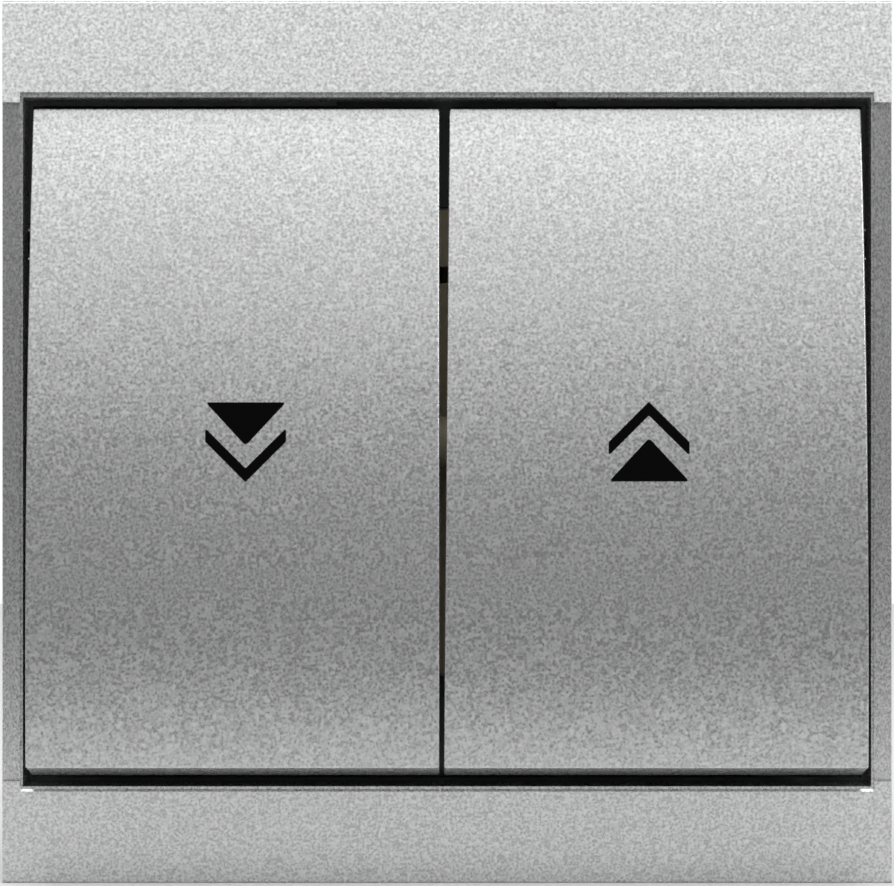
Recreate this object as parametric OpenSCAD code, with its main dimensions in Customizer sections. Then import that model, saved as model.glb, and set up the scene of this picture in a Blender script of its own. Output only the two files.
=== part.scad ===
// Roller shutter switch for flush mounting: a silver cover with a rocker for down and a rocker for up.
// Millimetres. X runs to the right and Z up, and the front faces -Y. The wall is the plane y = 0, and
// the origin is the middle of the fixing screws' pattern on the wall.

/* [Cover frame] */
// Width of the cover frame
frame_w = 84; // [82:0.5:90]
// Height of the cover frame
frame_h = 83.3; // [82:0.1:90]
// Height of the bar above the rockers, and of the bar below them
bar_h = 9.25; // [8.6:0.05:9.6]
// How far the bars stand off the wall beside the opening
bar_front = 9.7; // [9.6:0.1:11]
// How far the bars' outer edges stand off the wall
bar_edge = 8.05; // [7.8:0.05:9]
// Slant of the bars' ends
bar_draft = 7; // [3:0.5:8]
// Width of a side rail, from the opening to the outer face
rail_w = 2.11; // [2.1:0.01:2.6]
// How far the side rails stand off the wall beside the opening
rail_front = 9.6; // [9.2:0.1:10]
// How far the side rails' outer edges stand off the wall
rail_edge = 8; // [7.2:0.1:8.6]
// How far each rail stops short of the bar's edge
rail_end = 0.5; // [0.2:0.1:0.8]
// Width of the flat lip round the opening
lip_w = 0.25; // [0.2:0.05:0.4]
// How far the lip lies behind the bars' front
lip_drop = 0.22; // [0.15:0.01:0.4]
// Rounding of the bars' outer edges
edge_r = 0.3; // [0.2:0.1:0.8]
// Rounding of the rails' outer edges
rail_r = 0.2; // [0.1:0.1:0.5]
// Thickness of the cover's walls
cover_wall = 1.6; // [1.2:0.1:1.8]
// Thickness of the cover's outer walls beside the rails
rail_wall = 1.1; // [0.9:0.1:1.2]
// How far off the wall the opening's inner walls end
skirt_end = 5; // [4.9:0.1:5.6]
// Thickness of the stiffening ribs
rib_t = 1.2; // [0.8:0.1:1.6]
// Distance between the stiffening ribs
rib_pitch = 34; // [10:1:38]
// Height of the cover's snap hooks above and below the middle
hook_z = 18.9; // [16:0.1:24]
// Width of a snap hook
hook_w = 2.6; // [2:0.1:4]
// How far a snap hook's barb reaches under the inner frame
hook_bite = 0.6; // [0.4:0.1:0.9]

/* [Rockers] */
// Gap between the rockers' outer sides and the opening
side_gap = 0.79; // [0.6:0.01:1]
// Gap between the rockers' ends and the opening, with the rockers square to the wall
end_gap = 1.4; // [1.25:0.05:1.6]
// Where the down rocker's inner side lies, from the middle line
seam_down = -0.71; // [-1:0.01:-0.5]
// Where the up rocker's inner side lies at its top, from the middle line
seam_up = 0.23; // [0.15:0.01:0.8]
// How far the up rocker's inner side leans over towards its foot
seam_lean = 0.51; // [0:0.01:0.6]
// How far a rocker's front bulges
cap_crown = 2.13; // [1.5:0.01:2.6]
// Depth of a rocker's skirt
cap_depth = 4.9; // [4.5:0.1:5]
// Slant of a rocker's end walls
cap_draft = 6.5; // [2:0.5:7]
// Thickness of a rocker's front
cap_front = 1.7; // [1.4:0.1:1.8]
// Thickness of a rocker's skirt
cap_wall = 1.4; // [1.1:0.1:1.6]
// How far a rocker's edges lie in front of the axle
cap_rise = 5.73; // [5.7:0.01:6.2]
// Tilt of a rocker at rest
rest_tilt = 5.87; // [4.5:0.01:6]
// How far a rocker turns when it is pressed
press_angle = 11.5; // [8:0.1:11.6]
// Width of a rocker's clip tongues
tongue_w = 6; // [4:0.5:8]
// Thickness of a rocker's clip tongues
tongue_t = 1.1; // [0.9:0.1:1.3]
// How far a clip tongue reaches under the cradle
tongue_bite = 0.5; // [0.3:0.1:0.7]

/* [Cradles and axle] */
// How far the axle stands off the wall
axle_stand = 5.5; // [5.5:0.1:6]
// Radius of the axle
axle_r = 1.25; // [1:0.05:1.3]
// Running clearance round the axle
run_gap = 0.05; // [0.02:0.01:0.08]
// End play beside a cradle's hub
end_play = 0.4; // [0.2:0.1:0.6]
// Radius of a cradle's hub and of the bearing ears
hub_r = 2.4; // [2.1:0.1:2.5]
// Height of a cradle's plate
cradle_h = 28; // [27.5:0.5:29]
// Thickness of a cradle's plate
cradle_t = 1.5; // [1.3:0.1:1.5]
// How far the back of a cradle's plate lies in front of the axle
cradle_rise = 2.6; // [2.55:0.05:2.65]
// Thickness of the outer bearing ears
ear_t = 1.8; // [1.4:0.1:2]
// Where a cradle's pushing finger stands, as a share of the base housing's width
finger_share = 0.1684; // [0.164:0.001:0.171]
// Distance of the finger below the axle
finger_z = 9; // [8.5:0.1:9.5]
// Reach of the finger behind the axle
finger_reach = 8; // [7.5:0.1:8.2]
// Width of the finger
finger_w = 2.4; // [1.8:0.1:2.6]
// Radius of the finger's tip
finger_r = 1; // [0.8:0.1:1.1]

/* [Mechanism] */
// How far the front cover reaches past the base housing's sides
front_wide = 2.9; // [2.8:0.1:3]
// How far the front cover reaches past the base housing's ends
front_tall = 1.9; // [1.8:0.1:2]
// Thickness of the front cover
front_t = 1.5; // [1.3:0.1:1.6]
// Width of the base housing
base_w = 38.6; // [38.4:0.1:38.8]
// Height of the base housing
base_h = 40.6; // [40.4:0.1:41]
// Depth of the base housing behind the wall's surface
base_depth = 25; // [25:0.5:30]
// Thickness of the base housing's walls
base_wall = 1.6; // [1.4:0.1:1.7]
// Cut off the base housing's corners
base_chamfer = 2; // [1:0.5:2.5]
// Gap between the base housing and the plate round it
base_gap = 0.4; // [0.3:0.1:0.5]
// Where the return springs stand, as a share of the base housing's width
spring_share = 0.34; // [0.339:0.001:0.343]
// Distance of the return springs from the base housing's end
spring_up = 9.8; // [9.5:0.1:10.2]
// Mean radius of a return spring's coil, as a share of the base housing's width
coil_share = 0.057; // [0.05:0.001:0.058]
// Radius of a return spring's wire
wire_r = 0.25; // [0.2:0.05:0.3]
// Turns of a return spring
spring_turns = 6; // [4:1:8]
// Depth of the spring cups behind the wall's surface
cup_depth = 3; // [2.5:0.1:3.2]
// Thickness of the spring cups' walls
cup_wall = 0.9; // [0.8:0.1:1]
// Radius of the posts that hold the front cover's screws
post_r = 2.2; // [2:0.1:2.3]
// Radius of the front cover's screws
post_screw_r = 1.1; // [0.9:0.1:1.2]

/* [Contacts and terminals] */
// Thickness of the contact metal
strip_t = 0.7; // [0.6:0.1:0.8]
// Thickness of a contact arm
arm_t = 0.6; // [0.5:0.1:0.7]
// Width of a contact arm
arm_w = 3.8; // [3:0.1:4]
// Height of a contact arm's pivot above the axle
arm_top = 9; // [8.5:0.1:9.5]
// Radius of a contact arm's pivot
arm_pivot_r = 0.9; // [0.7:0.1:1]
// How far a contact arm turns when its rocker is pressed
arm_swing = 6.01; // [5:0.01:6.1]
// Radius of the contact rivets
rivet_r = 1.4; // [1:0.1:1.5]
// Thickness of the contact rivets' heads
rivet_t = 0.5; // [0.3:0.1:0.6]
// Distance of the contact rivets from the terminals' middle
contact_in = 1.9; // [1.8:0.1:2.3]
// Gap that is left where parts touch in use
touch_gap = 0.25; // [0.2:0.05:0.3]
// Side of a terminal clamp
clamp_s = 6.4; // [6.2:0.1:6.6]
// Depth of a terminal clamp
clamp_depth = 7.5; // [6:0.1:8]
// Side of the square wire way
wire_way = 4.6; // [4.5:0.1:4.7]
// Radius of the terminal screws
terminal_r = 1.45; // [1.2:0.05:1.5]
// Distance of the terminals' middle from the base housing's end
terminal_in = 4.9; // [4.9:0.1:5.1]
// Length of the front cover's screws behind it
cover_screw_l = 8; // [6:0.5:10]

/* [Plate, inner frame and claws] */
// How far the support plate stays inside the cover's sides
plate_side = 6.75; // [6.5:0.05:7.2]
// How far the support plate stays inside the cover's upper and lower edges
plate_end = 6.4; // [6.2:0.1:7]
// Thickness of the support plate
plate_t = 1.2; // [1:0.1:1.3]
// Distance of the fixing screws from the plate's edge
screw_in = 5.25; // [5:0.05:5.3]
// Width of the slots for the fixing screws
slot_w = 3.6; // [3.2:0.1:4.2]
// Length of the slots for the fixing screws
slot_l = 7; // [6:0.1:8]
// Thickness of the inner frame's floor
carrier_t = 1.4; // [1.2:0.1:1.5]
// How far the inner frame's collar stands off the wall
collar_front = 4.6; // [4:0.1:4.7]
// Gap between the inner frame's collar and the rockers' sides
collar_gap = 0.4; // [0.3:0.05:0.5]
// Gap round the inner frame, inside the cover
carrier_gap = 0.2; // [0.15:0.05:0.3]
// Width of the notch for levering the rockers off
notch_w = 21; // [12:1:24]
// Depth of that notch
notch_d = 0.7; // [0.5:0.1:1]
// Distance of the inner frame's pegs from the plate's edges
peg_in = 5.2; // [5:0.1:5.6]
// Radius of the pegs that hold the inner frame on the plate
peg_r = 1.5; // [1.2:0.1:1.8]
// Distance of the claw screws from the base housing
claw_screw_out = 5.8; // [5.8:0.1:6.1]
// How far the window in a claw runs past its screw
claw_more = 1.5; // [1.4:0.1:2]
// Length of a claw screw behind its head
claw_screw_l = 15.2; // [14:0.1:18]
// Height of the claws above and below the middle
claw_z = 6.5; // [6.3:0.1:7]
// Width of a claw
claw_w = 6; // [5:0.5:7]
// Thickness of the claws' steel
claw_t = 1; // [0.8:0.1:1]
// Length of a claw behind the wall's surface
claw_l = 21; // [16:1:23]
// Radius of the claw screws
claw_screw_r = 1.45; // [1.2:0.05:1.45]

/* [Hidden] */

$fn = 48;

silver = "#C4C7C8";
black = "#1C1D1F";
cream = "#D9CFB4";
ivory = "#E8E4D8";
steel = "#B9BDC0";
spring_steel = "#8E9296";
copper = "#C07A4A";
brass = "#C9A44C";

// How far a drawn shape runs past a face that it cuts
past = 1;
// How far a rib or boss is rooted in the wall that carries it
root = 0.3;
// Clearance of parts that only sit in each other
fit = 0.1;
// Room between the axle's middle bearing and the caps' skirts
bearing_gap = 0.5;
// Width and depth of a screwdriver slot, of the small screws and of the claw screws
small_slot = [0.5, 0.5];
claw_slot = [0.8, 0.9];
// A slot's length, longer than any screw head
slot_run = 8;
// How far a small screw's head reaches past its shaft
head_rim = 0.85;
// A claw screw's head
claw_head_t = 1.8;
claw_head_rim = 1.1;
// How far a terminal screw reaches into its clamp, and how far the post's hole runs on past a screw
terminal_reach = 1.8;
hole_more = 4;

// Places that follow the cover and the base housing
plate_x = frame_w / 2 - plate_side;
plate_z = frame_h / 2 - plate_end;
slots = [plate_x - screw_in, plate_z - screw_in];
peg_x = plate_x - peg_in;
peg_z = plate_z - peg_in;
front_x = base_w / 2 + front_wide;
front_z = base_h / 2 + front_tall;
finger_x = base_w * finger_share;
spring_x = base_w * spring_share;
spring_r = base_w * coil_share;
spring_z = base_h / 2 - spring_up;
terminal_z = base_h / 2 - terminal_in;
contact_z = terminal_z - contact_in;
claw_screw_x = base_w / 2 + claw_screw_out;

// The cover
side_x = frame_w / 2;
top_z = frame_h / 2;
open_x = side_x - rail_w;
open_z = top_z - bar_h;
lip_x = open_x + lip_w;
lip_y = lip_drop - bar_front;
crest_z = open_z + lip_w + lip_drop;
bar_lean = atan((bar_front - bar_edge) / (top_z - crest_z));
skirt_z = open_z + cover_wall;
hook_t = rail_w - rail_wall - carrier_gap;

// The layers, from the wall forwards
plate_y = [-plate_t, 0];
carrier_y = [-plate_t - carrier_t, -plate_t];
front_y = [-plate_t - front_t, -plate_t];
axle_y = -axle_stand;

// The rockers and cradles, about the axle
cap_x = open_x - side_gap;
cap_z = open_z - end_gap;
crown_r = (pow(cap_z, 2) + pow(cap_crown, 2)) / (2 * cap_crown);
crown_y = crown_r - cap_rise - cap_crown;
cradle_y = [-cradle_rise - cradle_t, -cradle_rise];
ear_x = front_x - 0.6;
cradle_x = [max(-seam_down, seam_up) + cap_wall + 2 * fit, ear_x - ear_t - end_play];
mid_ear_t = 2 * (cradle_x[0] - end_play);
cradle_mid = (cradle_x[0] + cradle_x[1]) / 2;
stop_x = cradle_x[0] + 2;
stop_z = cradle_h / 2 - 0.8;

// A point beside the axle, as [y, z], once the rocker has turned
function turned(p, a) = [p[0] * cos(a) - p[1] * sin(a), p[0] * sin(a) + p[1] * cos(a)];
function span(middle, width) = [middle - width / 2, middle + width / 2];

// The contact arms hang from their pivots, just behind the fingers' tips
tip_rest = turned([finger_reach - finger_r, -finger_z], -rest_tilt);
arm_y = axle_y + tip_rest[0] + finger_r + touch_gap;
pivot_y = arm_y + arm_t / 2;
ear_gap = arm_w / 2 + 0.2;
strip_y = pivot_y + arm_pivot_r + touch_gap;
arm_reach = arm_top + contact_z + rivet_r;
closed_y = pivot_y + (arm_t / 2 + rivet_t) * cos(arm_swing) + arm_reach * sin(arm_swing) + touch_gap / 2;

// The terminals
wire_z = terminal_z + strip_t / 2;
way_y = base_depth - 5.2;
clamp_y = [way_y - fit - clamp_depth, way_y - fit];
strip_z = terminal_z - wire_way / 2 + fit;
post_x = base_w / 2 - base_wall - post_r + 0.2;
post_z = base_h / 2 - base_wall - post_r + 0.2;

// The claws
claw_x = base_w / 2 + 1.9;
lug_y = [5, 5 + claw_t];
lug_l = claw_screw_x + claw_screw_r - claw_x + 1;

module block(x, y, z) {
    translate([x[0], y[0], z[0]])
        cube([x[1] - x[0], y[1] - y[0], z[1] - z[0]]);
}

// A side outline, drawn as [y, z], run along X
module along_x(x) {
    translate([x[0], 0, 0])
        rotate([90, 0, 90])
            linear_extrude(x[1] - x[0])
                children();
}

// A front outline, drawn as [x, z], run along Y
module along_y(y) {
    translate([0, y[1], 0])
        rotate([90, 0, 0])
            linear_extrude(y[1] - y[0])
                children();
}

// A top outline, drawn as [x, y], run along Z
module along_z(z) {
    translate([0, 0, z[0]])
        linear_extrude(z[1] - z[0])
            children();
}

module rod_x(x, r) {
    translate([x[0], 0, 0])
        rotate([0, 90, 0])
            cylinder(h = x[1] - x[0], r = r);
}

module rod_y(y, r) {
    translate([0, y[1], 0])
        rotate([90, 0, 0])
            cylinder(h = y[1] - y[0], r = r);
}

module rod_z(z, r) {
    translate([0, 0, z[0]])
        cylinder(h = z[1] - z[0], r = r);
}

module left_and_right() {
    children();
    mirror([1, 0, 0])
        children();
}

module top_and_bottom() {
    children();
    mirror([0, 0, 1])
        children();
}

module four_corners() {
    left_and_right()
        top_and_bottom()
            children();
}

// Side outline of the upper bar: a leaning face, a rounded outer edge and a straight outer wall
function bar_face(z) = -bar_front + (z - crest_z) * tan(bar_lean);
function bar_outline(inner_edge) =
    let (round_z = top_z - edge_r, round_y = bar_face(round_z) + edge_r / cos(bar_lean))
    concat(
        [[0, inner_edge[0][1]]],
        inner_edge,
        [for (i = [0 : 6])
            let (a = bar_lean + i * (90 - bar_lean) / 6)
            [round_y - edge_r * cos(a), round_z + edge_r * sin(a)]],
        [[0, top_z]]
    );

module bar_hollow() {
    inner_z = top_z - cover_wall;
    wall = cover_wall / cos(bar_lean);
    polygon([
        [past, open_z - past], [-skirt_end, open_z - past], [-skirt_end, skirt_z],
        [bar_face(skirt_z) + wall, skirt_z], [bar_face(inner_z) + wall, inner_z], [past, inner_z]
    ]);
}

module bar_rib() {
    inner_z = top_z - cover_wall;
    wall = cover_wall / cos(bar_lean);
    polygon([
        [-skirt_end, skirt_z - root], [bar_face(skirt_z) + wall - root, skirt_z - root],
        [bar_face(inner_z) + wall - root, inner_z + root], [-skirt_end / 2, inner_z + root]
    ]);
}

// Top outline of a bar, with its ends drawn in towards the front
module bar_plan() {
    front = bar_front + past;
    inset = (front - rail_edge) * tan(bar_draft);
    polygon([
        [-side_x, past], [-side_x, -rail_edge], [inset - side_x, -front],
        [side_x - inset, -front], [side_x, -rail_edge], [side_x, past]
    ]);
}

module upper_bar() {
    end_x = side_x - rail_wall;
    ribs = floor((end_x - rib_t) / rib_pitch);
    stepped_edge = [[lip_y, open_z], [lip_y, open_z + lip_w], [-bar_front, crest_z]];
    plain_edge = [[bar_face(open_z - rail_end), open_z - rail_end]];
    difference() {
        intersection() {
            union() {
                along_x([-lip_x, lip_x])
                    polygon(bar_outline(stepped_edge));
                left_and_right()
                    along_x([lip_x, side_x + past])
                        polygon(bar_outline(plain_edge));
            }
            along_z([open_z - rail_end - past, top_z + past])
                bar_plan();
        }
        along_x([-end_x, end_x])
            bar_hollow();
    }
    for (i = [-ribs : ribs])
        along_x(span(i * rib_pitch, rib_t))
            bar_rib();
}

// Top outline of the right rail: the lip, a leaning face, a rounded edge and a thin outer wall
module rail_outline() {
    lean = atan((rail_front - rail_edge) / (side_x - lip_x));
    round_x = side_x - rail_r;
    round_y = -rail_front + (round_x - lip_x) * tan(lean) + rail_r / cos(lean);
    polygon(concat(
        [[open_x, -skirt_end], [open_x, lip_y], [lip_x, lip_y], [lip_x, -rail_front]],
        [for (i = [0 : 5])
            let (a = lean + i * (90 - lean) / 5)
            [round_x + rail_r * sin(a), round_y - rail_r * cos(a)]],
        [[side_x, 0], [side_x - rail_wall, 0], [side_x - rail_wall, -skirt_end]]
    ));
}

// A hook runs back from the rail and catches behind the inner frame's floor
module hook_outline() {
    catch_y = carrier_y[1] + fit;
    back_y = catch_y + 0.7;
    polygon([
        [open_x, -skirt_end - root], [open_x, catch_y], [open_x - fit - hook_bite, catch_y],
        [open_x - fit - hook_bite, catch_y + 0.2], [open_x, back_y],
        [open_x + hook_t, back_y], [open_x + hook_t, -skirt_end - root]
    ]);
}

module cover_frame() {
    color(silver) {
        top_and_bottom()
            upper_bar();
        left_and_right() {
            along_z([-open_z - lip_w, open_z + lip_w])
                rail_outline();
            top_and_bottom()
                along_z(span(hook_z, hook_w))
                    hook_outline();
        }
    }
}

// The inner frame closes the gap round the rockers and carries the cover's hooks
module inner_frame() {
    out_x = side_x - rail_wall - carrier_gap;
    out_z = skirt_z - carrier_gap;
    in_x = cap_x + collar_gap;
    in_z = open_z - collar_gap;
    mid_x = front_x + fit * 3;
    mid_z = front_z + fit * 3;
    hook_x = open_x - fit;
    color(black) {
        difference() {
            block([-out_x, out_x], [-collar_front, carrier_y[1]], [-out_z, out_z]);
            block([-in_x, in_x], [-collar_front - past, carrier_y[0]], [-in_z, in_z]);
            block([-mid_x, mid_x], [carrier_y[0] - past, past], [-mid_z, mid_z]);
            block([1 - plate_x, plate_x - 1], [carrier_y[0] - past, past], span(0, 1.2 * mid_z));
            top_and_bottom()
                block([-6, 6], [carrier_y[0] + 0.5, past], span(slots[1], slot_l + 2));
            block(span(0, notch_w), [-collar_front - past, -collar_front + 1.2], [in_z - past, in_z + notch_d]);
            four_corners()
                block([hook_x, out_x + past], [-collar_front - past, past], span(hook_z, hook_w + 4 * fit));
        }
        four_corners()
            translate([peg_x, 0, peg_z])
                rod_y([carrier_y[1] - root, -fit], peg_r);
    }
}

module support_plate() {
    x = plate_x;
    z = plate_z;
    cut = 5;
    run = (slot_l - slot_w) / 2;
    color(steel)
        difference() {
            along_y(plate_y)
                polygon([
                    [-x, -z + cut], [-x, z - cut], [-x + cut, z], [x - cut, z],
                    [x, z - cut], [x, -z + cut], [x - cut, -z], [-x + cut, -z]
                ]);
            block(span(0, base_w + 2 * base_gap), [-past - plate_t, past], span(0, base_h + 2 * base_gap));
            for (turn = [0 : 3])
                rotate([0, 90 * turn, 0]) {
                    for (end = [-run, run])
                        translate([slots[turn % 2] + end, 0, 0])
                            rod_y([-past - plate_t, past], slot_w / 2);
                    block(
                        span(slots[turn % 2], 2 * run), [-past - plate_t, past], span(0, slot_w)
                    );
                }
            four_corners()
                translate([peg_x, 0, peg_z])
                    rod_y([-past - plate_t, past], peg_r + fit);
            for (side = [1, -1])
                translate([side * claw_screw_x, 0, -side * claw_z])
                    rod_y([-past - plate_t, past], claw_screw_r + 0.15);
            for (side = [1, -1])
                block(
                    span(side * (claw_x - claw_t / 2), 2 * claw_t + 0.6), [-past - plate_t, past],
                    span(-side * claw_z, claw_w - 1.4)
                );
        }
}

module ear(x) {
    difference() {
        union() {
            translate([0, axle_y, 0])
                rod_x(x, hub_r);
            block(x, [axle_y, front_y[0] + root], [-hub_r, hub_r]);
        }
        translate([0, axle_y, 0])
            rod_x([x[0] - past, x[1] + past], axle_r + fit / 5);
    }
}

// A stop ends a rocker's swing: the cradle's plate lands on its top
function stop_y(a) = axle_y + turned([-cradle_rise, stop_z + 1], a)[0] + fit;

module front_cover() {
    cup_r = spring_r + wire_r + 0.5;
    color(cream) {
        difference() {
            union() {
                block([-front_x, front_x], front_y, [-front_z, front_z]);
                left_and_right()
                    translate([spring_x, 0, -spring_z])
                        rod_y([front_y[0], cup_depth], cup_r + cup_wall);
            }
            left_and_right() {
                translate([spring_x, 0, -spring_z])
                    rod_y([front_y[0] - past, cup_depth - cup_wall], cup_r);
                block(
                    span(finger_x, finger_w + 1), [front_y[0] - past, front_y[1] + past],
                    span(-finger_z, 2 * finger_r + 3.4)
                );
            }
            block(span(0, 10), [front_y[0] - past, front_y[1] + past], span(base_h / 2 - 4.3, 1.6));
            four_corners()
                translate([post_x, 0, post_z])
                    rod_y([front_y[0] - past, past], post_screw_r + fit);
        }
        ear(span(0, mid_ear_t));
        left_and_right() {
            ear([ear_x - ear_t, ear_x]);
            block(span(stop_x, 2), [stop_y(-rest_tilt), front_y[0] + root], span(stop_z, 2));
            block(
                span(stop_x, 2), [stop_y(rest_tilt - press_angle), front_y[0] + root],
                span(-stop_z, 2)
            );
        }
    }
}

module wire_guide() {
    half = clamp_s / 2 + base_wall;
    block(span(finger_x, 2 * half), [way_y, base_depth - root], [terminal_z - half, base_h / 2 - root]);
    left_and_right_of_clamp()
        block(
            [clamp_s / 2 + fit, clamp_s / 2 + 1.2], [clamp_y[0], base_depth - root],
            [terminal_z - half, base_h / 2 - root]
        );
}

module left_and_right_of_clamp() {
    translate([finger_x, 0, 0])
        left_and_right()
            children();
}

module base_housing() {
    x = base_w / 2;
    z = base_h / 2;
    c = base_chamfer;
    front = front_y[1];
    color(ivory)
        difference() {
            union() {
                difference() {
                    along_y([front, base_depth])
                        polygon([
                            [-x, -z + c], [-x, z - c], [-x + c, z], [x - c, z],
                            [x, z - c], [x, -z + c], [x - c, -z], [-x + c, -z]
                        ]);
                    block(
                        [-x + base_wall, x - base_wall], [front - past, base_depth - base_wall - fit],
                        [-z + base_wall, z - base_wall]
                    );
                }
                four_corners() {
                    translate([post_x, 0, post_z])
                        rod_y([front, base_depth - root], post_r);
                    wire_guide();
                }
                top_and_bottom()
                    block([-8, 8], [fit / 2, base_wall], [z - root, z + base_gap + 1.2]);
                block([-0.6, 0.6], [clamp_y[0], base_depth - root], [-z + root, z - root]);
            }
            four_corners() {
                translate([post_x, 0, post_z])
                    rod_y([front - past, front + cover_screw_l + hole_more], post_screw_r - fit);
                block(
                    span(finger_x, wire_way), [way_y - past, base_depth + past],
                    span(wire_z, wire_way)
                );
                translate([finger_x, (clamp_y[0] + clamp_y[1]) / 2, 0])
                    rod_z([z - base_wall - past, z + past], terminal_r + 1.2);
            }
        }
}

// The rockers and cradles are drawn square to the wall and about the axle, and then tilted to rest
module at_rest() {
    translate([0, axle_y, 0])
        rotate([-rest_tilt, 0, 0])
            children();
}

// A rocker's body: slanted ends, straight sides and a bulging front, each moved in by its own inset
module cap_body(inner_top, inner_foot, ends, sides, front) {
    back_y = -cap_rise + cap_depth + ends;
    back_z = cap_z + (cap_depth + ends) * tan(cap_draft) - ends;
    nose_y = -cap_rise - cap_crown - past;
    nose_z = cap_z - (cap_crown + past) * tan(cap_draft) - ends;
    far = cap_z + cap_depth;
    inner_mid = (inner_top + inner_foot) / 2 + sides;
    inner_run = (inner_top - inner_foot) / 2 * far / cap_z;
    intersection() {
        along_x([-past, cap_x - sides])
            polygon([[back_y, -back_z], [back_y, back_z], [nose_y, nose_z], [nose_y, -nose_z]]);
        along_y([nose_y - past, back_y + past])
            polygon([
                [inner_mid + inner_run, far], [cap_x + past, far],
                [cap_x + past, -far], [inner_mid - inner_run, -far]
            ]);
        translate([0, crown_y, 0])
            rod_x([-2 * past, cap_x + past], crown_r - front, $fn = 360);
    }
}

// Ribs that rest on the cradle, a stiffening rib beyond it, and two clip tongues
module cap_fittings() {
    front = -cap_rise - cap_crown;
    seat_y = cradle_y[0] - fit / 2;
    tongue_z = cradle_h / 2 + fit;
    back_y = cradle_y[1] + fit;
    for (x = [cradle_x[0] + 3, cradle_x[1] - 3])
        block(span(x, 1), [front, seat_y], span(0, cradle_h - 2));
    block(span((cradle_x[1] + cap_x) / 2, 1), [front, seat_y], span(0, 2 * cap_z - 6));
    top_and_bottom()
        along_x(span(cradle_mid, tongue_w))
            polygon([
                [front, tongue_z], [back_y, tongue_z], [back_y, tongue_z - fit - tongue_bite],
                [back_y + 0.6, tongue_z], [back_y + 0.6, tongue_z + tongue_t], [front, tongue_z + tongue_t]
            ]);
}

module cap(inner_top, inner_foot) {
    at_rest() {
        difference() {
            cap_body(inner_top, inner_foot, 0, 0, 0);
            cap_body(inner_top, inner_foot, cap_wall, cap_wall, cap_front);
            rod_x([-past, cradle_x[0]], hub_r + bearing_gap);
        }
        intersection() {
            cap_fittings();
            translate([0, crown_y, 0])
                rod_x([-past, cap_x + past], crown_r - cap_front + root, $fn = 360);
        }
    }
}

module rocker_down() {
    color(silver)
        mirror([1, 0, 0])
            cap(-seam_down, -seam_down);
}

module rocker_up() {
    color(silver)
        cap(seam_up, seam_up - seam_lean);
}

// A cradle: the plate that its rocker clips on, a hub on the axle, the finger and the spring's boss
module cradle() {
    tip = [finger_reach - finger_r, -finger_z];
    spring_rest = turned([0, -spring_z], rest_tilt);
    color(ivory)
        at_rest()
            difference() {
                union() {
                    block(cradle_x, cradle_y, span(0, cradle_h));
                    rod_x(cradle_x, hub_r);
                    for (x = [cradle_x[0], cradle_x[1] - 1.4])
                        along_x([x, x + 1.4])
                            polygon([
                                [cradle_y[1] - root, -9], [cradle_y[1] - root, 9],
                                [hub_r / 2, hub_r * 0.8], [hub_r / 2, -hub_r * 0.8]
                            ]);
                    along_x(span(finger_x, finger_w))
                        polygon([
                            [cradle_y[1] - root, tip[1] + finger_r + 0.8], [tip[0], tip[1] + finger_r],
                            [tip[0], tip[1] - finger_r], [cradle_y[1] - root, tip[1] - finger_r - 0.8]
                        ]);
                    translate([0, tip[0], tip[1]])
                        rod_x(span(finger_x, finger_w), finger_r);
                    translate([spring_x, 0, spring_rest[1]])
                        rod_y([cradle_y[1] - root, cradle_y[1] + 1], spring_r - wire_r - 0.45);
                }
                rod_x([cradle_x[0] - past, cradle_x[1] + past], axle_r + run_gap);
            }
}

module cradle_down() {
    mirror([1, 0, 0])
        cradle();
}

module cradle_up() {
    cradle();
}

module pivot_pin() {
    color(steel)
        translate([0, axle_y, 0])
            rod_x([-ear_x, ear_x], axle_r);
}

// A wire coil along Y, with flat end turns, swept as a ring of points that climbs with the angle
module coil(y, radius, wire, turns) {
    sides = 6;
    steps = 16;
    pitch_y = (y[1] - y[0] - 2 * wire) / turns;
    rings = turns * steps;
    points = [for (i = [0 : rings], j = [0 : sides - 1])
        let (a = i * 360 / steps, b = j * 360 / sides, r = radius + wire * cos(b))
        [r * cos(a), y[0] + wire + pitch_y * i / steps + wire * sin(b), r * sin(a)]];
    walls = [for (i = [0 : rings - 1], j = [0 : sides - 1])
        let (a = i * sides + j, b = i * sides + (j + 1) % sides)
        [a, b, b + sides, a + sides]];
    start = [for (j = [sides - 1 : -1 : 0]) j];
    end = [for (j = [0 : sides - 1]) rings * sides + j];
    polyhedron(points, concat([start], walls, [end]), convexity = 10);
}

module return_spring() {
    under = axle_y + turned([-cradle_rise, -spring_z - spring_r], -rest_tilt)[0];
    loose = fit + 2 * spring_r * sin(rest_tilt);
    color(spring_steel)
        translate([spring_x, 0, -spring_z])
            coil([under + loose, cup_depth - cup_wall - fit / 2], spring_r, wire_r, spring_turns);
}

module return_spring_down() {
    mirror([1, 0, 0])
        return_spring();
}

module return_spring_up() {
    return_spring();
}

module contact_arm() {
    color(copper) {
        block(span(finger_x, arm_w), [arm_y, arm_y + arm_t], [-contact_z - rivet_r - 0.4, arm_top]);
        translate([0, pivot_y, arm_top])
            rod_x(span(finger_x, arm_w + 3), arm_pivot_r);
        translate([finger_x, 0, -contact_z])
            rod_y([arm_y + arm_t, arm_y + arm_t + rivet_t], rivet_r);
    }
}

module contact_arm_down() {
    mirror([1, 0, 0])
        contact_arm();
}

module contact_arm_up() {
    contact_arm();
}

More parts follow.
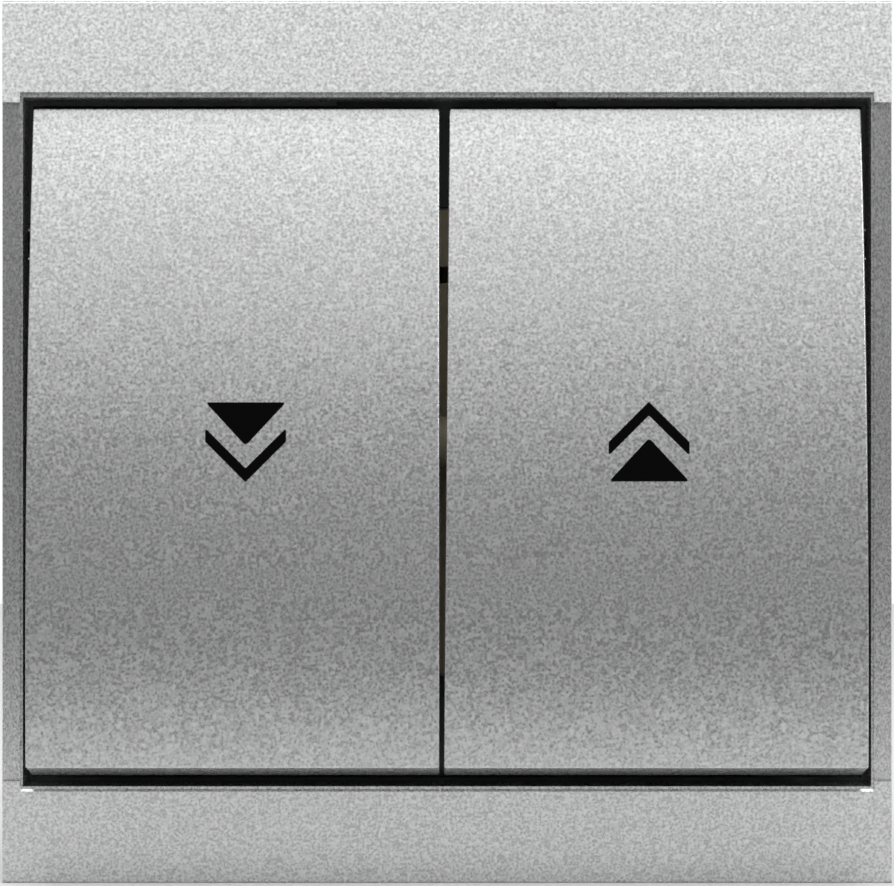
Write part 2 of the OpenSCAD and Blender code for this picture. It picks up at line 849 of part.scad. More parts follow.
// The live strip carries both contact arms in pairs of ears, and runs back into the upper terminals
module common_strip() {
    ear_r = arm_pivot_r + 0.7;
    leg_z = [strip_z, strip_z + strip_t];
    color(copper)
        difference() {
            union() {
                block(
                    span(0, 2 * (finger_x + arm_w)), [strip_y, strip_y + strip_t],
                    [arm_top - ear_r, leg_z[1]]
                );
                left_and_right() {
                    for (side = [-1, 1])
                        translate([finger_x + side * (ear_gap + 0.4), 0, 0])
                            block([-0.4, 0.4], [pivot_y - ear_r, strip_y + root], span(arm_top, 2 * ear_r));
                    block(span(finger_x, arm_w), [strip_y, clamp_y[1] - fit], leg_z);
                }
            }
            left_and_right()
                translate([0, pivot_y, arm_top])
                    rod_x(span(finger_x, arm_w + 4), arm_pivot_r + run_gap);
        }
}

module fixed_contact() {
    back = closed_y + rivet_t;
    color(copper) {
        translate([finger_x, 0, -contact_z])
            rod_y([closed_y, back + root], rivet_r);
        block(
            span(finger_x, arm_w), [back, back + strip_t],
            [-contact_z - rivet_r - 1, -contact_z + rivet_r + 0.6]
        );
        block(span(finger_x, arm_w), [back, clamp_y[1] - fit], [-strip_z - strip_t, -strip_z]);
    }
}

module fixed_contact_down() {
    mirror([1, 0, 0])
        fixed_contact();
}

module fixed_contact_up() {
    fixed_contact();
}

module terminal_clamps() {
    wall = (clamp_s - wire_way) / 2;
    color(brass)
        four_corners()
            difference() {
                block(span(finger_x, clamp_s), clamp_y, span(terminal_z, clamp_s));
                block(
                    span(finger_x, wire_way), [clamp_y[0] - past, clamp_y[1] + past],
                    span(terminal_z, wire_way)
                );
                translate([finger_x, (clamp_y[0] + clamp_y[1]) / 2, terminal_z])
                    rod_z([wire_way / 2 - past, wire_way / 2 + wall + past], terminal_r + fit / 2);
            }
}

module terminal_screws() {
    head_z = terminal_z + clamp_s / 2 + fit;
    head_t = terminal_r;
    color(steel)
        four_corners()
            translate([finger_x, (clamp_y[0] + clamp_y[1]) / 2, 0]) {
                rod_z([head_z - terminal_reach, head_z + root], terminal_r);
                difference() {
                    rod_z([head_z, head_z + head_t], terminal_r + head_rim);
                    block(
                        span(0, slot_run), span(0, small_slot[0]),
                        [head_z + head_t - small_slot[1], head_z + head_t + past]
                    );
                }
            }
}

module cover_screws() {
    color(steel)
        four_corners()
            translate([post_x, 0, post_z]) {
                rod_y([front_y[0] - root, front_y[1] + cover_screw_l], post_screw_r - fit);
                difference() {
                    rod_y([front_y[0] - post_screw_r, front_y[0]], post_screw_r + head_rim);
                    block(
                        span(0, slot_run),
                        [front_y[0] - post_screw_r - past, front_y[0] - post_screw_r + small_slot[1]],
                        span(0, small_slot[0])
                    );
                }
            }
}

// Top outline of a claw: a leg from the plate's notch backwards, with its end bent out
module claw_outline() {
    inner = claw_x - claw_t / 2;
    outer = claw_x + claw_t / 2;
    polygon([
        [inner, -plate_t * 0.75], [inner, claw_l - 2], [outer + 1.8, claw_l], [outer + 3, claw_l - 0.6],
        [outer, claw_l - 3.4], [outer, -plate_t * 0.75]
    ]);
}

module claw() {
    outer = claw_x + claw_t / 2;
    teeth = 3;
    pitch = claw_w / teeth;
    color(steel)
        difference() {
            union() {
                along_z(span(0, claw_w))
                    claw_outline();
                block([outer - root, claw_x + lug_l], lug_y, span(0, claw_w - 0.4));
            }
            // The leg's upper end is narrower, to stand in the plate's notch
            top_and_bottom()
                block([claw_x - claw_t, claw_x + claw_t], [-plate_t - past, fit], [claw_w / 2 - 0.9, claw_w]);
            // The lug's slot, and the leg's window behind it, let the claw swing past the screw
            block(
                [outer + fit, claw_x + lug_l - 0.8], [lug_y[0] - past, lug_y[1] + past],
                span(0, 2 * claw_screw_r + 2 * fit)
            );
            block(
                [claw_x - claw_t, outer + fit], [lug_y[1], claw_screw_l - plate_t + claw_more],
                span(0, 2 * claw_screw_r + 2 * fit)
            );
            for (i = [1 : teeth - 1])
                translate([outer + 1.9, claw_l, -claw_w / 2 + i * pitch])
                    rotate([0, 45, 0])
                        cube([0.9, 4, 0.9], center = true);
        }
}

module claw_left() {
    translate([0, 0, claw_z])
        mirror([1, 0, 0])
            claw();
}

module claw_right() {
    translate([0, 0, -claw_z])
        claw();
}

module claw_screw() {
    head_y = -plate_t;
    color(steel) {
        rod_y([head_y - root, head_y + claw_screw_l], claw_screw_r);
        difference() {
            rod_y([head_y - claw_head_t, head_y], claw_screw_r + claw_head_rim);
            block(
                span(0, slot_run), [head_y - claw_head_t - past, head_y - claw_head_t + claw_slot[1]],
                span(0, claw_slot[0])
            );
        }
    }
}

module claw_screw_left() {
    translate([-claw_screw_x, 0, claw_z])
        claw_screw();
}

module claw_screw_right() {
    translate([claw_screw_x, 0, -claw_z])
        claw_screw();
}

cover_frame();
inner_frame();
support_plate();
front_cover();
base_housing();
rocker_down();
rocker_up();
cradle_down();
cradle_up();
pivot_pin();
return_spring_down();
return_spring_up();
contact_arm_down();
contact_arm_up();
common_strip();
fixed_contact_down();
fixed_contact_up();
terminal_clamps();
terminal_screws();
cover_screws();
claw_left();
claw_right();
claw_screw_left();
claw_screw_right();
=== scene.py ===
# %% [markdown]
# # A roller shutter switch, dressed in Blender
# The switch is a flush wall switch: a silver cover frame round two wide silver rockers, one for down and
# one for up. Its solids come from a CAD model, already in metres and in their places. This lesson gives
# them their finishes, prints the arrows, and sets up the camera and a soft studio light.
# The first cell loads the solids and keeps the CAD model's box.

# %% Load the solids
import math
import bmesh
import bpy
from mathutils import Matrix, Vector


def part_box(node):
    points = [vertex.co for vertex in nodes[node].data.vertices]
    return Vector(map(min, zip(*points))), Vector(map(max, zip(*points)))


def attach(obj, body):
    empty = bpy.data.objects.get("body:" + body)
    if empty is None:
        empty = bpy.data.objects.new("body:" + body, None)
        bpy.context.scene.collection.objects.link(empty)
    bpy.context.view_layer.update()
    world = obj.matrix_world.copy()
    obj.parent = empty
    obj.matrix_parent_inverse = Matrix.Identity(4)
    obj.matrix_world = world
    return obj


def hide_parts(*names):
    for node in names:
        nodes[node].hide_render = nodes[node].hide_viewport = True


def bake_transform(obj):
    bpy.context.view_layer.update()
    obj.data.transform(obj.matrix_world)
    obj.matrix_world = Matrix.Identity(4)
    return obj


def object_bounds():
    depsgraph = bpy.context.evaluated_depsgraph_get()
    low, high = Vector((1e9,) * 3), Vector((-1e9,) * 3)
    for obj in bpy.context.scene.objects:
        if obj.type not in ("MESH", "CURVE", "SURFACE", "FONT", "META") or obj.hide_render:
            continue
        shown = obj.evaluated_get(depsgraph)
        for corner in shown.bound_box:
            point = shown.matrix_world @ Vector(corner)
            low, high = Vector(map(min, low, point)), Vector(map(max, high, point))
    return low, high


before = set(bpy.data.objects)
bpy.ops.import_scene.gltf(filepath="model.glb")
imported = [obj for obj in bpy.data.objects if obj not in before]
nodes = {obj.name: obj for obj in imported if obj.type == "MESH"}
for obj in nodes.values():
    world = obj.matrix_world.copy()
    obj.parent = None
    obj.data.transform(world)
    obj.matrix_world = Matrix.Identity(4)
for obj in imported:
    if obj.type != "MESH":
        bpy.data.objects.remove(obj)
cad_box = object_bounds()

mm = 0.001
print("solids:", len(nodes), "box:", [tuple(round(v / mm, 2) for v in corner) for corner in cad_box])

# %% [markdown]
# Colours are easiest to compare with paint cards as sRGB hex values, but the renderer works with linear
# light. One function turns the one into the other.

# %% Colours
def linear(hex_colour):
    """An sRGB hex value such as C4C7C8 as linear red, green, blue and alpha."""
    parts = [int(hex_colour[i:i + 2], 16) / 255 for i in (0, 2, 4)]
    return [p / 12.92 if p <= 0.04045 else ((p + 0.055) / 1.055) ** 2.4 for p in parts] + [1.0]


print("mid grey:", [round(c, 3) for c in linear("808080")])

# %% [markdown]
# A finish is a small network of shader nodes. This helper adds one node, sets it up and links it. An input
# is given by its name, or by its number where several have the same name, and its value is either a plain
# value or another node's output.

# %% A helper for shader nodes
def add_node(tree, kind, settings=None, **inputs):
    """Adds one shader node, with its settings and its inputs, and returns it."""
    node = tree.nodes.new(kind)
    for name, value in (settings or {}).items():
        setattr(node, name, value)
    for key, value in inputs.items():
        socket = node.inputs[int(key[1:]) if key[0] == "n" and key[1:].isdigit() else key.replace("_", " ")]
        if isinstance(value, bpy.types.NodeSocket):
            tree.links.new(value, socket)
        else:
            socket.default_value = value
    return node


def new_material(name):
    """An empty material, its node tree and its output node."""
    material = bpy.data.materials.new(name)
    material.use_nodes = True
    material.node_tree.nodes.clear()
    return material, material.node_tree, add_node(material.node_tree, "ShaderNodeOutputMaterial")


print("a material starts with", len(new_material("empty_test")[1].nodes), "node")

# %% [markdown]
# ## Camera
# A straight view at the front. How far the rockers' sides seem to widen gives the distance, about 350 mm
# in front of the cover, and the lens then follows from the cover's width in the picture. The camera stands
# a tenth of a millimetre under the middle, because the cover sits slightly high in the frame.

# %% Camera
def make_camera():
    sensor = 36.0
    focal_pixels = 3706.0
    data = bpy.data.cameras.new("front_camera")
    data.sensor_width = sensor
    data.lens = focal_pixels / 894 * sensor
    data.clip_start, data.clip_end = 0.01, 10.0
    camera = bpy.data.objects.new("front_camera", data)
    camera.location = (0.0, -358 * mm, -0.108 * mm)
    camera.rotation_euler = (math.pi / 2, 0.0, 0.0)
    bpy.context.scene.collection.objects.link(camera)
    bpy.context.scene.camera = camera
    return camera


print("lens:", round(make_camera().data.lens, 1), "mm")

# %% [markdown]
# ## Silver lacquer
# The cover and the rockers are moulded plastic, sprayed with a silver lacquer. Aluminium flakes lie nearly
# flat in it, so it reflects like a dull metal. They gather in small groups that lean a little each way,
# and that gives the fine mottle which shows all over the silver.
# A bump from a height pattern would make dents, with a light and a dark side each. The groups have no
# height, only a lean, so a noise with three channels tilts the surface's normal directly instead.

# %% Silver lacquer
def silver_lacquer():
    # Aluminium flake lacquer, sprayed: a blurred metal reflection with a fine even mottle.
    material, tree, out = new_material("silver_flake_lacquer_sprayed")
    place = add_node(tree, "ShaderNodeTexCoord").outputs["Object"]
    # Part of the light meets resin between the flakes, so the finish is not quite all metal.
    # The real flakes measure 0.03 mm, too fine to show. What shows is their groups, a quarter of a millimetre.
    group = add_node(tree, "ShaderNodeTexNoise", Vector=place, Scale=1 / (0.27 * mm), Detail=0.0)
    flake = add_node(
        tree, "ShaderNodeTexVoronoi", {"feature": "F1"}, Vector=place, Scale=1 / (0.16 * mm), Randomness=1.0
    )
    share = add_node(tree, "ShaderNodeMapRange", Value=group.outputs["Fac"], n1=0.25, n2=0.75)
    tone = add_node(
        tree, "ShaderNodeMix", {"data_type": "RGBA"}, Factor=share.outputs["Result"],
        n6=linear("AEB0B1"), n7=linear("D3D5D6")
    )
    spark = add_node(
        tree, "ShaderNodeMix", {"data_type": "RGBA", "blend_type": "OVERLAY"}, Factor=0.05,
        n6=tone.outputs[2], n7=flake.outputs["Color"]
    )
    grey = add_node(tree, "ShaderNodeHueSaturation", Saturation=0.25, Color=spark.outputs[2])
    rough = add_node(
        tree, "ShaderNodeMapRange", Value=group.outputs["Fac"], n1=0.25, n2=0.75, n3=0.25, n4=0.31
    )
    lean = add_node(
        tree, "ShaderNodeVectorMath", {"operation": "SUBTRACT"}, n0=group.outputs["Color"], n1=(0.5, 0.5, 0.5)
    )
    straight = add_node(tree, "ShaderNodeNewGeometry").outputs["Normal"]
    leaning = add_node(
        tree, "ShaderNodeVectorMath", {"operation": "MULTIPLY_ADD"},
        n0=lean.outputs["Vector"], n1=(0.12, 0.12, 0.12), n2=straight
    )
    normal = add_node(tree, "ShaderNodeVectorMath", {"operation": "NORMALIZE"}, n0=leaning.outputs["Vector"])
    shader = add_node(
        tree, "ShaderNodeBsdfPrincipled", Base_Color=grey.outputs["Color"], Metallic=0.85,
        Roughness=rough.outputs["Result"], Normal=normal.outputs["Vector"]
    )
    tree.links.new(shader.outputs["BSDF"], out.inputs["Surface"])
    return material


silver = silver_lacquer()
print(silver.name, "has", len(silver.node_tree.nodes), "nodes")

# %% [markdown]
# ## Moulded plastics
# The inner frame is black ABS, the mechanism's front is cream thermoplastic and the base is ivory
# thermoset. All three leave a spark-eroded mould, which gives them a fine satin grain, with a few broad
# and hardly visible differences in tone. One function makes them, with the colour and the grain's size.

# %% Moulded plastics
def moulded_plastic(name, dark, light, grain, roughness, ior):
    """A satin moulding. Its colour wanders a little between two tones, and its grain is a fine bump."""
    material, tree, out = new_material(name)
    place = add_node(tree, "ShaderNodeTexCoord").outputs["Object"]
    cloud = add_node(tree, "ShaderNodeTexNoise", Vector=place, Scale=1 / (6 * mm), Detail=3.0)
    fine = add_node(tree, "ShaderNodeTexNoise", Vector=place, Scale=1 / grain, Detail=2.0)
    tone = add_node(
        tree, "ShaderNodeMix", {"data_type": "RGBA"}, Factor=cloud.outputs["Fac"],
        n6=linear(dark), n7=linear(light)
    )
    rough = add_node(
        tree, "ShaderNodeMapRange", Value=fine.outputs["Fac"], n1=0.3, n2=0.7,
        n3=roughness - 0.06, n4=roughness + 0.06
    )
    bump = add_node(tree, "ShaderNodeBump", Strength=0.6, Distance=0.02 * mm, Height=fine.outputs["Fac"])
    shader = add_node(
        tree, "ShaderNodeBsdfPrincipled", Base_Color=tone.outputs[2], Roughness=rough.outputs["Result"],
        IOR=ior, Normal=bump.outputs["Normal"]
    )
    tree.links.new(shader.outputs["BSDF"], out.inputs["Surface"])
    return material


# Black ABS, moulded: a dark satin skin that shows soft light along its edges.
black_abs = moulded_plastic("black_abs_moulded", "4A4B4E", "535457", 0.25 * mm, 0.48, 1.53)
# Cream polycarbonate, moulded: a warm, slightly yellowed tone with a soft shine.
cream_pc = moulded_plastic("cream_polycarbonate_moulded", "CFC3A2", "D9CDAE", 0.3 * mm, 0.42, 1.58)
# Ivory urea resin, pressed: paler and harder looking, with a smoother skin.
ivory_urea = moulded_plastic("ivory_urea_resin_pressed", "DDD7C6", "E8E3D5", 0.3 * mm, 0.35, 1.6)
print("plastics:", black_abs.name, cream_pc.name, ivory_urea.name)

# %% [markdown]
# ## Metals
# The plate, the claws and the screws are steel with a zinc coating, the springs are drawn spring wire, the
# contacts are stamped from a copper alloy and the clamps are turned and milled from brass. Each is a metal
# with its own colour, a drawn or rolled grain, and a faint haze of uneven coating.

# %% Metals
def worked_metal(name, dark, light, grain, stretch, roughness):
    """A metal whose colour and gloss vary in fine streaks along one direction."""
    material, tree, out = new_material(name)
    place = add_node(tree, "ShaderNodeTexCoord").outputs["Object"]
    streaks = add_node(tree, "ShaderNodeMapping", Vector=place, Scale=stretch)
    fine = add_node(
        tree, "ShaderNodeTexNoise", Vector=streaks.outputs["Vector"], Scale=1 / grain, Detail=3.0
    )
    haze = add_node(tree, "ShaderNodeTexNoise", Vector=place, Scale=1 / (4 * mm), Detail=4.0)
    tone = add_node(
        tree, "ShaderNodeMix", {"data_type": "RGBA"}, Factor=haze.outputs["Fac"],
        n6=linear(dark), n7=linear(light)
    )
    rough = add_node(
        tree, "ShaderNodeMapRange", Value=fine.outputs["Fac"], n1=0.3, n2=0.7,
        n3=roughness - 0.08, n4=roughness + 0.08
    )
    bump = add_node(tree, "ShaderNodeBump", Strength=0.5, Distance=0.01 * mm, Height=fine.outputs["Fac"])
    shader = add_node(
        tree, "ShaderNodeBsdfPrincipled", Base_Color=tone.outputs[2], Metallic=1.0,
        Roughness=rough.outputs["Result"], Normal=bump.outputs["Normal"]
    )
    tree.links.new(shader.outputs["BSDF"], out.inputs["Surface"])
    return material


# Zinc-coated steel, rolled and stamped: a bright grey with a cool, slightly cloudy shine.
zinc = worked_metal("zinc_coated_steel_rolled", "B4BABF", "CDD1D4", 0.3 * mm, (0.2, 1.0, 1.0), 0.32)
# Spring steel wire, drawn: darker, with streaks along the wire.
spring_wire = worked_metal("spring_steel_drawn", "7E8287", "9A9EA2", 0.2 * mm, (1.0, 0.3, 1.0), 0.3)
# Copper alloy strip, rolled: a warm reddish metal that has dulled a little.
copper = worked_metal("copper_alloy_rolled", "B8734A", "CF8A5E", 0.3 * mm, (1.0, 1.0, 0.2), 0.34)
# Brass bar, milled: a pale yellow metal with fine milling marks.
brass = worked_metal("brass_milled", "C2A054", "D6B56C", 0.3 * mm, (1.0, 0.2, 1.0), 0.3)
print("metals:", zinc.name, spring_wire.name, copper.name, brass.name)

# %% [markdown]
# Every solid gets the finish of what it is made of. The record of the CAD model names its material slots,
# so the slots' names lead to the finishes, and each solid keeps its own.

# %% Give the solids their finishes
finish_of = {
    "silver_paint": silver, "black_plastic": black_abs, "cream_plastic": cream_pc,
    "ivory_plastic": ivory_urea, "zinc_steel": zinc, "spring_steel": spring_wire,
    "copper_alloy": copper, "brass": brass,
}
for name, solid in nodes.items():
    slot = solid.material_slots[0]
    slot.material = finish_of[slot.material.name.split(".")[0]]
print("finishes given to", len(nodes), "solids")

# %% [markdown]
# ## Return springs
# Behind each rocker a coil of steel wire pushes it back after the press. A pressed rocker shortens its
# spring, which a stiff solid can't do. The coil is drawn here once more, in the solid's place, and the solid
# is hidden. A curve with a round bevel would draw it as well.

# %% Return springs
def spring_coil(name, solid):
    """A round wire coil along Y, as large as the CAD solid that it stands for."""
    low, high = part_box(solid)
    wire, turns, steps, sides = 0.25 * mm, 6, 32, 10
    x, z = (low[0] + high[0]) / 2, (low[2] + high[2]) / 2
    radius = (high[0] - low[0]) / 2 - wire
    climb = (high[1] - low[1] - 2 * wire) / (turns * steps)
    mesh = bmesh.new()
    rings = []
    for i in range(turns * steps + 1):
        turned = math.tau * i / steps
        ring = []
        for j in range(sides):
            across = math.tau * j / sides
            out = radius + wire * math.cos(across)
            y = low[1] + wire + climb * i + wire * math.sin(across)
            ring.append(mesh.verts.new((x + out * math.cos(turned), y, z + out * math.sin(turned))))
        rings.append(ring)
    for one, two in zip(rings, rings[1:]):
        for j in range(sides):
            mesh.faces.new((one[j], one[(j + 1) % sides], two[(j + 1) % sides], two[j]))
    for end in (rings[0], rings[-1]):
        mesh.faces.new(end)
    bmesh.ops.recalc_face_normals(mesh, faces=mesh.faces[:])
    for face in mesh.faces:
        face.smooth = len(face.verts) == 4
    data = bpy.data.meshes.new(name)
    mesh.to_mesh(data)
    mesh.free()
    data.materials.append(spring_wire)
    piece = bpy.data.objects.new(name, data)
    bpy.context.scene.collection.objects.link(piece)
    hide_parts(solid)
    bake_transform(piece)
    return piece


for side in ("down", "up"):
    spring = spring_coil(f"spring_coil_{side}", f"return_spring_{side}")
    print(spring.name, "has", len(spring.data.polygons), "faces")

# %% [markdown]
# ## Soft edges
# No moulded or stamped edge is sharp: the lacquer rounds it, and the thin line of light along it is what
# shows where a rocker ends. The CAD solids have sharp edges, so a bevel modifier rounds them for the eye.
# The bevel could be made in the shader alone, but then other programs would lose it. A solid's faces
# come apart at their edges, so a weld modifier joins them first, and a decimate modifier then makes whole
# faces of the flat ones' triangles, or else the bevel would leave streaks on them.

# %% Soft edges
edge_radius = {
    "cover_frame": 0.08, "rocker_down": 0.18, "rocker_up": 0.18, "inner_frame": 0.15,
    "front_cover": 0.12, "base_housing": 0.2, "support_plate": 0.1, "cradle_down": 0.15,
    "cradle_up": 0.15, "terminal_clamps": 0.12, "claw_left": 0.08, "claw_right": 0.08,
}
for name, radius in edge_radius.items():
    weld = nodes[name].modifiers.new("joined_edges", "WELD")
    weld.merge_threshold = 0.001 * mm
    if not name.startswith(("rocker", "cradle")):
        whole = nodes[name].modifiers.new("whole_faces", "DECIMATE")
        whole.decimate_type = "DISSOLVE"
        whole.angle_limit = math.radians(0.5)
    bevel = nodes[name].modifiers.new("soft_edges", "BEVEL")
    bevel.width = radius * mm
    bevel.segments = 3
    bevel.limit_method = "ANGLE"
    bevel.angle_limit = math.radians(28)
    level = nodes[name].modifiers.new("even_shading", "WEIGHTED_NORMAL")
    level.keep_sharp = True
print("edges softened on", len(edge_radius), "solids")

# %% [markdown]
# ## The printed arrows
# Each rocker has a filled triangle and a chevron, printed in black ink with a rubber pad. On the down
# rocker both point down, and on the up rocker both point up. The print follows the rocker's curved face.
# It could be a pattern in the rocker's material, but a thin solid on the face keeps its sharp outline in
# every program, and it rides with the rocker.
# The face is part of a large cylinder round the rocker's own axis, tilted as the rocker rests.

# %% The rocker's face
rest_tilt = math.radians(-5.87)
axle_y = -5.5
crown_half, crown_rise, edge_rise = 31.0, 2.13, 5.73
crown_radius = (crown_half ** 2 + crown_rise ** 2) / (2 * crown_rise)
crown_middle = crown_radius - edge_rise - crown_rise


def face_y(z):
    """How far in front of the wall the rocker's face lies at height z, as a negative y, in millimetres."""
    along = z
    for _ in range(6):
        out = crown_middle - math.sqrt(crown_radius ** 2 - along ** 2)
        along = (z - out * math.sin(rest_tilt)) / math.cos(rest_tilt)
    return axle_y + out * math.cos(rest_tilt) - along * math.sin(rest_tilt)


print("face at the middle:", round(face_y(0.0), 2), "mm, at the foot:", round(face_y(-30.0), 2), "mm")

# %% [markdown]
# The outlines are given in millimetres for the symbol that points up, and are turned over for the other.
# Their corners are rounded a little, as ink draws them. Each outline is cut into narrow bands, so that
# the print can bend with the face, and a solidify modifier gives the ink its thickness.

# %% The printed arrows
def rounded(points, radius, steps=4):
    """The outline with each corner replaced by a short arc, drawn as a quadratic curve."""
    result = []
    for i, corner in enumerate(points):
        before, after = points[i - 1], points[(i + 1) % len(points)]
        legs = []
        for other in (before, after):
            length = math.dist(corner, other)
            share = min(radius / length, 0.45)
            legs.append([corner[k] + (other[k] - corner[k]) * share for k in (0, 1)])
        for s in range(steps + 1):
            t = s / steps
            result.append([
                (1 - t) ** 2 * legs[0][k] + 2 * t * (1 - t) * corner[k] + t * t * legs[1][k] for k in (0, 1)
            ])
    return result


triangle = rounded([(-3.74, -3.68), (3.74, -3.68), (0.0, 0.36)], 0.4)
chevron = rounded([
    (0.0, 3.74), (3.76, -0.02), (3.76, -1.12), (3.6, -1.12), (0.0, 2.46), (-3.6, -1.12), (-3.76, -1.12),
    (-3.76, -0.02)
], 0.1)


def print_symbol(name, outlines, middle_x, direction):
    """A thin black print on a rocker's face. direction is 1 for up and -1 for down."""
    mesh = bmesh.new()
    for outline in outlines:
        mesh.faces.new([mesh.verts.new((middle_x + x, 0.0, direction * z)) for x, z in outline])
    for step in range(-18, 19):
        everything = mesh.verts[:] + mesh.edges[:] + mesh.faces[:]
        bmesh.ops.bisect_plane(mesh, geom=everything, plane_co=(0, 0, step * 0.2), plane_no=(0, 0, 1))
    for vertex in mesh.verts:
        vertex.co.y = face_y(vertex.co.z) - 0.02
        vertex.co *= mm
    bmesh.ops.triangulate(mesh, faces=mesh.faces[:])
    bmesh.ops.recalc_face_normals(mesh, faces=mesh.faces[:])
    if sum(face.normal.y for face in mesh.faces) > 0:
        bmesh.ops.reverse_faces(mesh, faces=mesh.faces[:])
    data = bpy.data.meshes.new(name)
    mesh.to_mesh(data)
    mesh.free()
    piece = bpy.data.objects.new(name, data)
    bpy.context.scene.collection.objects.link(piece)
    ink_layer = piece.modifiers.new("ink_thickness", "SOLIDIFY")
    ink_layer.thickness = 0.03 * mm
    ink_layer.offset = -1.0
    return piece


down_print = print_symbol("printed_arrows_down", [triangle, chevron], -18.73, -1)
up_print = print_symbol("printed_arrows_up", [triangle, chevron], 18.79, 1)
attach(down_print, "down_rocker")
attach(up_print, "up_rocker")
print("prints:", down_print.name, len(down_print.data.polygons), "faces;", up_print.name)

# %% [markdown]
# ## Ink
# Pad printing ink is a thin layer of black pigment in resin. It is matt, and its coverage is uneven by a
# hair, which a fine noise in its tone and gloss gives.

# %% Ink
def printing_ink():
    # Black two-part ink, pad printed: deep matt black with a faintly uneven sheen.
    material, tree, out = new_material("black_ink_pad_printed")
    place = add_node(tree, "ShaderNodeTexCoord").outputs["Object"]
    fine = add_node(tree, "ShaderNodeTexNoise", Vector=place, Scale=1 / (0.2 * mm), Detail=2.0)
    tone = add_node(
        tree, "ShaderNodeMix", {"data_type": "RGBA"}, Factor=fine.outputs["Fac"],
        n6=linear("010101"), n7=linear("040404")
    )
    rough = add_node(tree, "ShaderNodeMapRange", Value=fine.outputs["Fac"], n3=0.75, n4=0.95)
    shader = add_node(
        tree, "ShaderNodeBsdfPrincipled", Base_Color=tone.outputs[2], Roughness=rough.outputs["Result"],
        IOR=1.5, Specular_IOR_Level=0.05
    )
    tree.links.new(shader.outputs["BSDF"], out.inputs["Surface"])
    return material


ink = printing_ink()
for piece in (down_print, up_print):
    piece.data.materials.append(ink)
print("printed with", ink.name)

# %% [markdown]
# ## The studio
# A silver surface shows the room round it, so the room is part of its look. In front of the switch the
# room has a pale floor, a dark wall at eye level and a wide softbox overhead. Its side walls are grey,
# and behind the switch there is a white backdrop. The world's light stands for this room: one gradient by
# height for the front and one for the sides. Every ray sees the same room, so the silver shows what is
# there.

# %% The room
def wall_light(tree, height, stops):
    """A gradient by height. Each stop is degrees above eye level and its light, where 1 is white paper."""
    place = add_node(tree, "ShaderNodeMapRange", Value=height, n1=-0.25, n2=1.0)
    ramp = add_node(tree, "ShaderNodeValToRGB", Fac=place.outputs["Result"])
    points = ramp.color_ramp.elements
    while len(points) < len(stops):
        points.new(0.5)
    for point, (degrees, light) in zip(points, stops):
        point.position = (math.sin(math.radians(degrees)) + 0.25) / 1.25
        point.color = (light / 2, light / 2, light / 2, 1.0)
    return add_node(tree, "ShaderNodeBackground", Color=ramp.outputs["Color"], Strength=2.0)


def studio_room():
    world = bpy.data.worlds.new("studio_room")
    bpy.context.scene.world = world
    world.use_nodes = True
    tree = world.node_tree
    tree.nodes.clear()
    toward = add_node(tree, "ShaderNodeTexCoord").outputs["Generated"]
    axes = add_node(tree, "ShaderNodeSeparateXYZ", Vector=toward)
    heights = [(-14, 1.5), (-8, 0.24), (-5, 0.02), (0, 0.05), (3, 0.28), (6, 0.23), (10, 0.06), (15, 0.42),
               (20, 1.16), (25, 0.7), (30, 1.13), (36, 2.0), (50, 1.6), (90, 0.02)]
    front = wall_light(tree, axes.outputs["Z"], heights)
    sides = wall_light(
        tree, axes.outputs["Z"],
        [(-14, 0.12), (-6, 0.12), (0, 0.14), (6, 0.3), (15, 0.45), (40, 0.4), (90, 0.3)]
    )
    white = add_node(tree, "ShaderNodeBackground", Color=(1.0, 1.0, 1.0, 1.0), Strength=1.0)
    sideways = add_node(tree, "ShaderNodeMath", {"operation": "ABSOLUTE"}, n0=axes.outputs["X"])
    beside = add_node(
        tree, "ShaderNodeMapRange", {"interpolation_type": "SMOOTHSTEP"},
        Value=sideways.outputs["Value"], n1=0.45, n2=0.75
    )
    behind = add_node(
        tree, "ShaderNodeMapRange", {"interpolation_type": "SMOOTHSTEP"}, Value=axes.outputs["Y"], n1=0.25, n2=0.6
    )
    walls = add_node(
        tree, "ShaderNodeMixShader", n0=beside.outputs["Result"], n1=front.outputs[0], n2=sides.outputs[0]
    )
    mixed = add_node(
        tree, "ShaderNodeMixShader", n0=behind.outputs["Result"], n1=walls.outputs[0], n2=white.outputs[0]
    )
    out = add_node(tree, "ShaderNodeOutputWorld")
    tree.links.new(mixed.outputs[0], out.inputs["Surface"])
    return world


print("world:", studio_room().name)

# %% [markdown]
# The switch stands on a pale table, which keeps its shadow and lights it from below. The table ends
# 160 mm in front of the switch and 240 mm beside it, and beyond its edges lies the room.

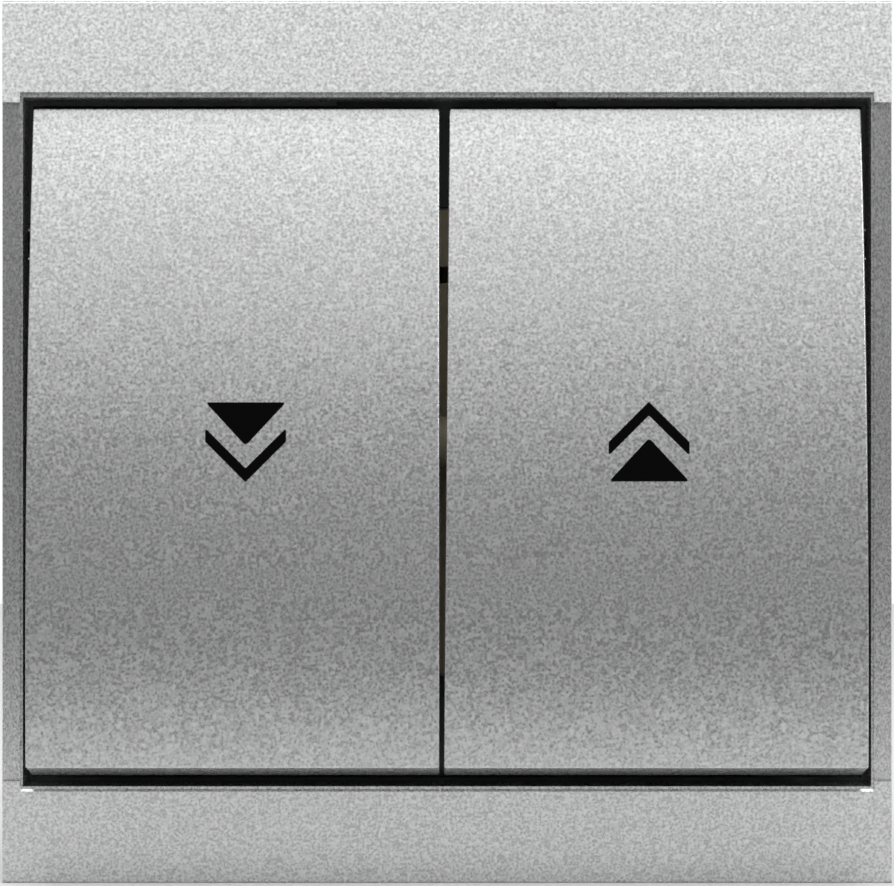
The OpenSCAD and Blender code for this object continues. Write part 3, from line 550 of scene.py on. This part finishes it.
# %% The table
def studio_table():
    # Pale coated board, matt: nearly white, with a hint of fibre.
    material, tree, out = new_material("pale_board_matt")
    place = add_node(tree, "ShaderNodeTexCoord").outputs["Object"]
    fibre = add_node(tree, "ShaderNodeTexNoise", Vector=place, Scale=1 / (2 * mm), Detail=3.0)
    tone = add_node(
        tree, "ShaderNodeMix", {"data_type": "RGBA"}, Factor=fibre.outputs["Fac"],
        n6=linear("D9D9D9"), n7=linear("DEDEDE")
    )
    shader = add_node(tree, "ShaderNodeBsdfPrincipled", Base_Color=tone.outputs[2], Roughness=0.8)
    tree.links.new(shader.outputs["BSDF"], out.inputs["Surface"])
    side, near, far, level = 0.24, -0.16, 0.6, cad_box[0].z
    data = bpy.data.meshes.new("studio_table")
    data.from_pydata(
        [(-side, near, level), (side, near, level), (side, far, level), (-side, far, level)],
        [], [(0, 1, 2, 3)]
    )
    data.materials.append(material)
    table = bpy.data.objects.new("studio_table", data)
    bpy.context.scene.collection.objects.link(table)
    return table


print("table:", studio_table().name)

# %% [markdown]
# One soft lamp above and in front gives the shadows in the gaps their direction. Two narrow upright
# softboxes at the sides draw the thin lines of light along the rockers' edges.

# %% Lamps
def soft_lamp(name, place, width, height, watts):
    """An upright area lamp that looks at the middle of the switch."""
    data = bpy.data.lights.new(name, "AREA")
    data.shape = "RECTANGLE"
    data.size, data.size_y = width, height
    data.energy = watts
    lamp = bpy.data.objects.new(name, data)
    bpy.context.scene.collection.objects.link(lamp)
    lamp.location = place
    lamp.rotation_mode = "QUATERNION"
    lamp.rotation_quaternion = (-lamp.location).to_track_quat("-Z", "Y")
    return lamp


for name, place, width, height, watts in [
    ("key_softbox", (0.0, -0.3, 0.9), 0.5, 0.5, 3.5),
    ("right_strip", (0.62, -0.5, 0.4), 0.12, 0.5, 2.0),
    ("left_strip", (-0.62, -0.5, 0.4), 0.12, 0.5, 0.6),
]:
    lamp = soft_lamp(name, place, width, height, watts)
    print("lamp:", lamp.name, lamp.data.energy, "W")

# %% [markdown]
# The Standard view shows the colours as they are written.

# %% View and finish
bpy.context.scene.view_settings.view_transform = "Standard"
